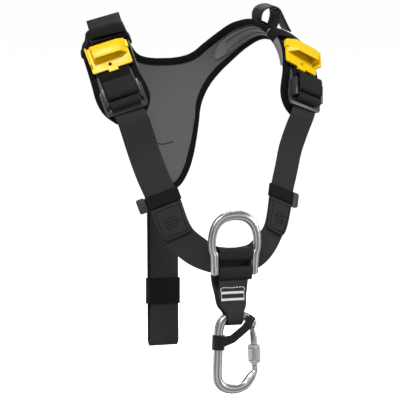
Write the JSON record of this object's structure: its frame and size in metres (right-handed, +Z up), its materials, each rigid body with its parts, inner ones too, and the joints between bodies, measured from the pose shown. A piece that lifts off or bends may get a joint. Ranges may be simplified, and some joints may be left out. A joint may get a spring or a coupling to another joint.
{
  "type": "chest harness",
  "caption": "Climbing chest harness in its worn shape: padded yoke, adjustable chest straps with buckles, forged ring on the breastbone and a locking connector with sliding sleeve.",
  "frame": {"origin": "midway between the two shoulders, at the height where the pad rests on them, where a wearer holds the harness", "axes": "+Z up, the wearer faces -Y, +X is the wearer's left"},
  "size_m": [0.375, 0.2691, 0.5425],
  "materials": {
    "pad_foam": "matt woven face over foam",
    "liner": "matt woven",
    "binding": "matt woven tape",
    "webbing": "ribbed weave",
    "elastic": "matt elastic weave",
    "thread": "dense stitching",
    "yellow_plastic": "satin moulded",
    "grey_plastic": "matt moulded",
    "black_plastic": "matt moulded",
    "dark_metal": "dark satin",
    "bright_metal": "polished"
  },
  "bodies": {
    "harness": {"back_pad": "pad_foam", "pad_binding": "binding", "shoulder_liner_left": "liner", "shoulder_liner_right": "liner", "shoulder_web_left": "webbing", "shoulder_web_right": "webbing", "holder_patch_left": "elastic", "holder_patch_right": "elastic", "holder_left": "yellow_plastic", "holder_right": "yellow_plastic", "shoulder_keeper_left": "elastic", "shoulder_keeper_right": "elastic", "folded_tail_right": "webbing", "tail_loop_left": "webbing", "rear_strap": "webbing", "rear_strap_keeper": "elastic", "chest_strap_left": "webbing", "chest_strap_right": "webbing", "sewn_tab_left": "webbing", "sewn_tab_right": "webbing", "strap_band_left": "elastic", "strap_band_right": "elastic", "strap_slider_left": "grey_plastic", "strap_slider_right": "grey_plastic", "buckle_frame_left": "dark_metal", "buckle_frame_right": "dark_metal", "buckle_bars_left": "dark_metal", "buckle_bars_right": "dark_metal", "buckle_roll_lower_left": "webbing", "buckle_roll_lower_right": "webbing", "buckle_roll_upper_left": "webbing", "buckle_roll_upper_right": "webbing", "sternal_ring": "bright_metal", "ring_roll_upper": "webbing", "ring_roll_lower": "webbing", "sternal_panel": "webbing", "bar_tack_upper": "thread", "bar_tack_lower": "thread", "connector_body": "bright_metal", "positioner": "black_plastic"},
    "gate": {"connector_gate": "bright_metal"},
    "sleeve": {"lock_sleeve": "bright_metal"}
  },
  "joints": [
    {"name": "gate_hinge", "type": "hinge", "parent": "harness", "child": "gate", "pos_m": [0.0293, -0.147, -0.424], "axis": [0, 1, 0], "range_deg": [0, 24], "stiffness_Nm_per_rad": 0.06, "springref_deg": -20.05},
    {"name": "sleeve_slide", "type": "slide", "parent": "gate", "child": "sleeve", "axis": [0.0388, 0, -0.9992], "range_m": [0, 0.006]}
  ]
}
